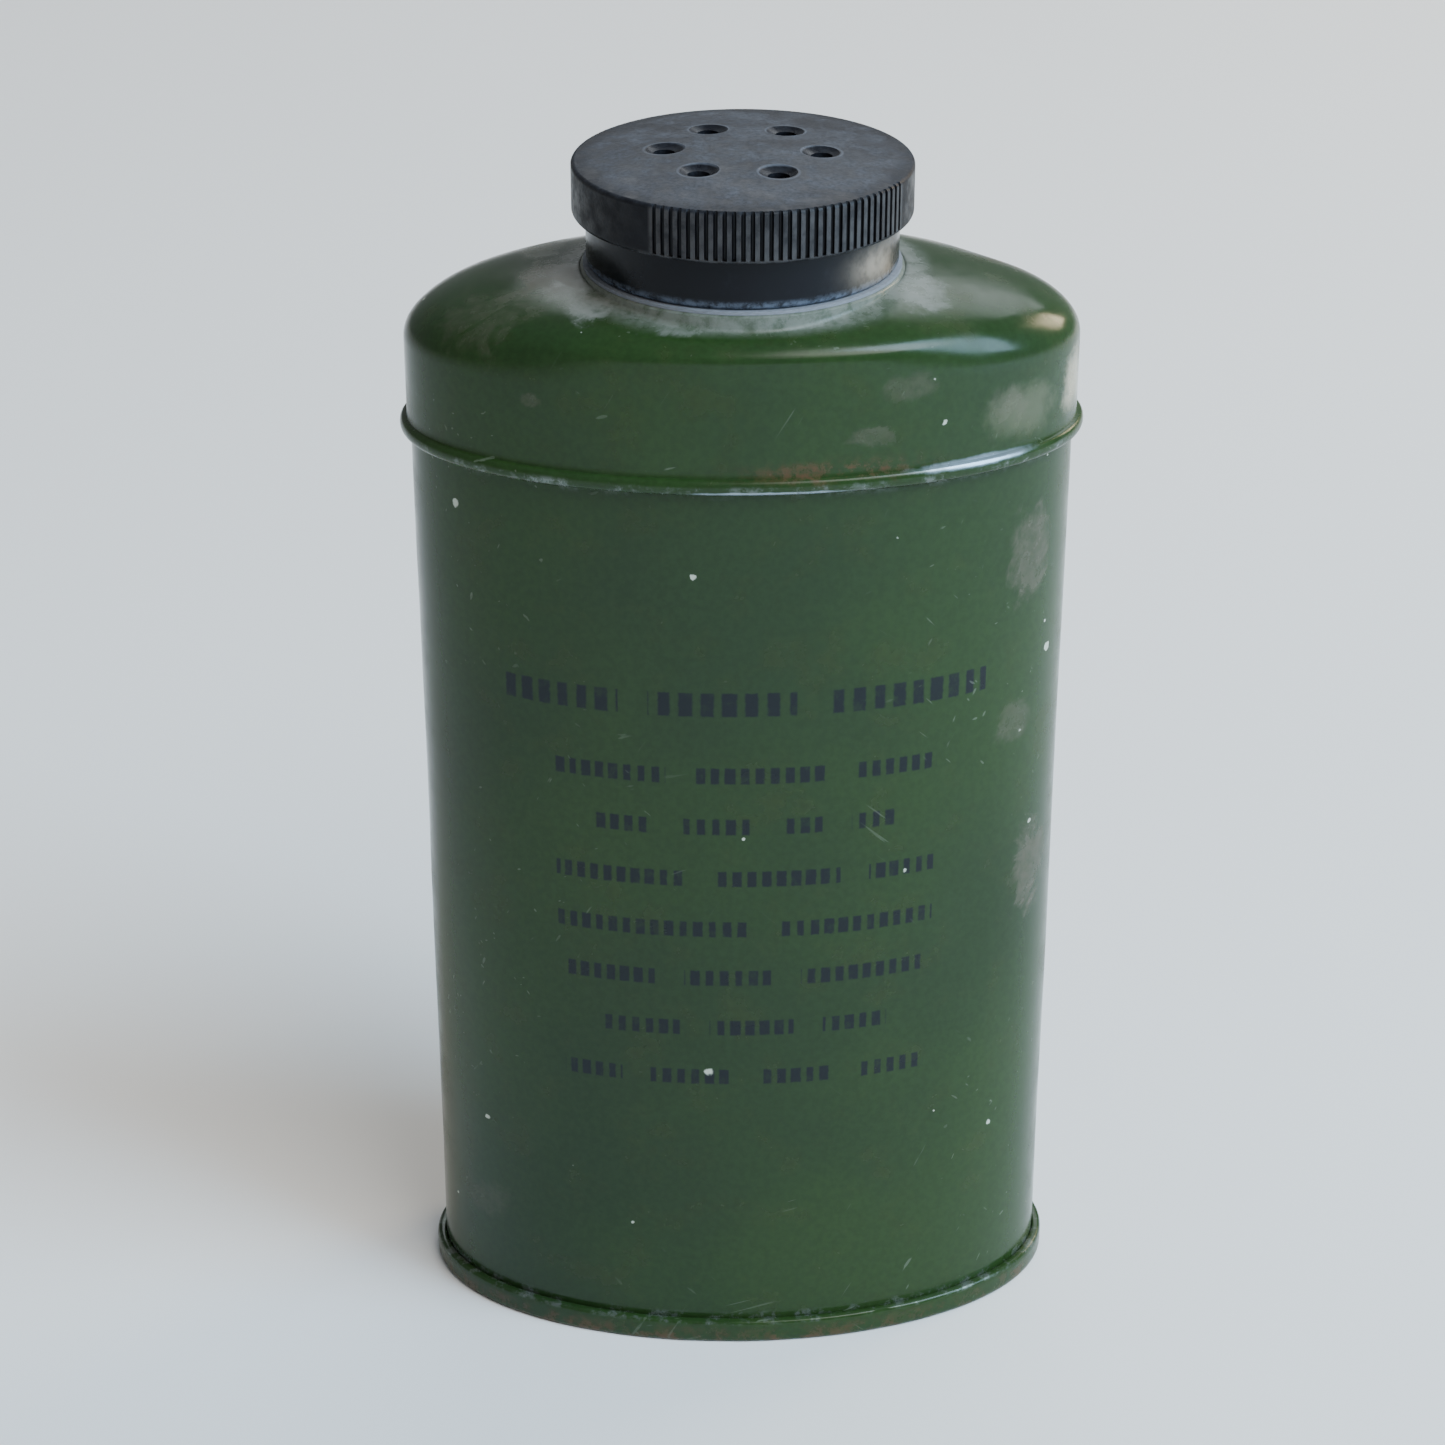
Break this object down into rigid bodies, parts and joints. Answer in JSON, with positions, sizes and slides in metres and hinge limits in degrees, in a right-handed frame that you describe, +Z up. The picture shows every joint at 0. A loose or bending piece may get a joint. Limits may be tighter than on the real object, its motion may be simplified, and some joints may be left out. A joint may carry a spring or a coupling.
{
  "type": "powder tin",
  "caption": "Oval tinplate powder tin in olive green enamel, with a slip-on shoulder cover and a black moulded rotating sifter head.",
  "frame": {"origin": "centre of the oval, on the surface that the base seam rests on", "axes": "+Z up through the sifter's axis, X along the long axis of the oval, -Y the front face"},
  "size_m": [0.0638, 0.036, 0.1195],
  "materials": {
    "body_enamel": "worn gloss enamel on tinplate",
    "base_enamel": "worn gloss enamel on tinplate, rubbed bare along the seam",
    "cover_enamel": "worn gloss enamel on tinplate",
    "washer_card": "waxed grey card",
    "collar_moulding": "gloss black moulding",
    "rotor_moulding": "handled black moulding, dusty on top",
    "tinplate": "bright tinplate",
    "spring_steel": "plain steel",
    "screw_brass": "turned brass"
  },
  "bodies": {
    "tin": {"body_wall": "body_enamel", "base_end": "base_enamel"},
    "cover": {"shoulder_cover": "cover_enamel", "neck_washer": "washer_card", "sifter_collar": "collar_moulding", "collar_clip": "tinplate"},
    "rotor": {"sifter_rotor": "rotor_moulding", "spring_washer": "spring_steel", "pivot_washer": "spring_steel", "pivot_screw": "screw_brass"}
  },
  "joints": [
    {"name": "cover_lift", "type": "slide", "parent": "tin", "child": "cover", "axis": [0, 0, 1], "range_m": [0, 0.04]},
    {"name": "sifter_turn", "type": "hinge", "parent": "cover", "child": "rotor", "pos_m": [0, 0, 0.116], "axis": [0, 0, 1], "range_deg": [0, 30]}
  ]
}
